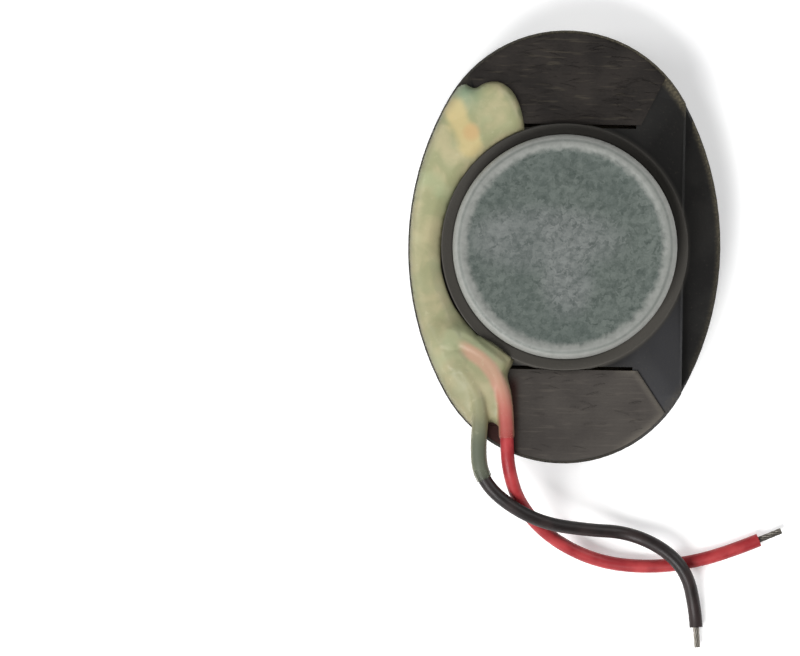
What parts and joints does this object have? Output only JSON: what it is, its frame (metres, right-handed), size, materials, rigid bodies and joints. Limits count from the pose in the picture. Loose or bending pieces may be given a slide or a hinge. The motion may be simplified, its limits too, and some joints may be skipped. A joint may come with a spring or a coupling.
{
  "type": "oval miniature loudspeaker",
  "caption": "Oval miniature loudspeaker with a round magnet cup on its back, a foam ring on its front and two short flying leads.",
  "frame": {"origin": "under the middle of the oval, on the surface that the front gasket lies on", "axes": "+Z towards the back of the speaker, +Y along the long side of the oval away from the leads"},
  "size_m": [0.0158, 0.0256, 0.004],
  "materials": {
    "basket_plastic": "moulded black plastic, slightly glossy",
    "cup_plating": "dull mottled plating on drawn steel",
    "magnet_plating": "nickel plated",
    "pole_plating": "zinc plated",
    "coil_copper": "enamelled copper wire",
    "film": "thin amber film",
    "ring_plastic": "black plastic",
    "cover_steel": "black painted steel",
    "screen_cloth": "dark felted non-woven cloth",
    "gasket_foam": "matt dark foam",
    "vent_cloth": "dark brown damping cloth",
    "board_laminate": "glass-fibre laminate",
    "board_copper": "bare copper foil",
    "solder": "bright solder",
    "tinned_strands": "tinned copper strands",
    "red_insulation": "soft glossy red insulation",
    "black_insulation": "soft glossy black insulation",
    "glue": "set translucent adhesive"
  },
  "bodies": {
    "speaker": {"basket": "basket_plastic", "yoke_cup": "cup_plating", "magnet": "magnet_plating", "pole_plate": "pole_plating", "diaphragm": "film", "diaphragm_ring": "ring_plastic", "front_cover": "cover_steel", "dust_screen": "screen_cloth", "front_gasket": "gasket_foam", "vent_screen_top": "vent_cloth", "vent_screen_bottom": "vent_cloth", "terminal_board": "board_laminate", "red_trace": "board_copper", "black_trace": "board_copper", "lead_joint_red": "solder", "lead_joint_black": "solder", "coil_joint_red": "solder", "coil_joint_black": "solder", "coil_wire_red": "coil_copper", "coil_wire_black": "coil_copper", "red_strands": "tinned_strands", "black_strands": "tinned_strands", "red_insulation": "red_insulation", "black_insulation": "black_insulation", "glue_bead": "glue"},
    "moving_coil": {"voice_coil": "coil_copper"}
  },
  "joints": [
    {"name": "coil_travel", "type": "slide", "parent": "speaker", "child": "moving_coil", "axis": [0, 0, 1], "range_m": [-0.00015, 0.00015], "stiffness_N_per_m": 1000, "deforming": ["diaphragm", "coil_wire_red", "coil_wire_black"]}
  ]
}
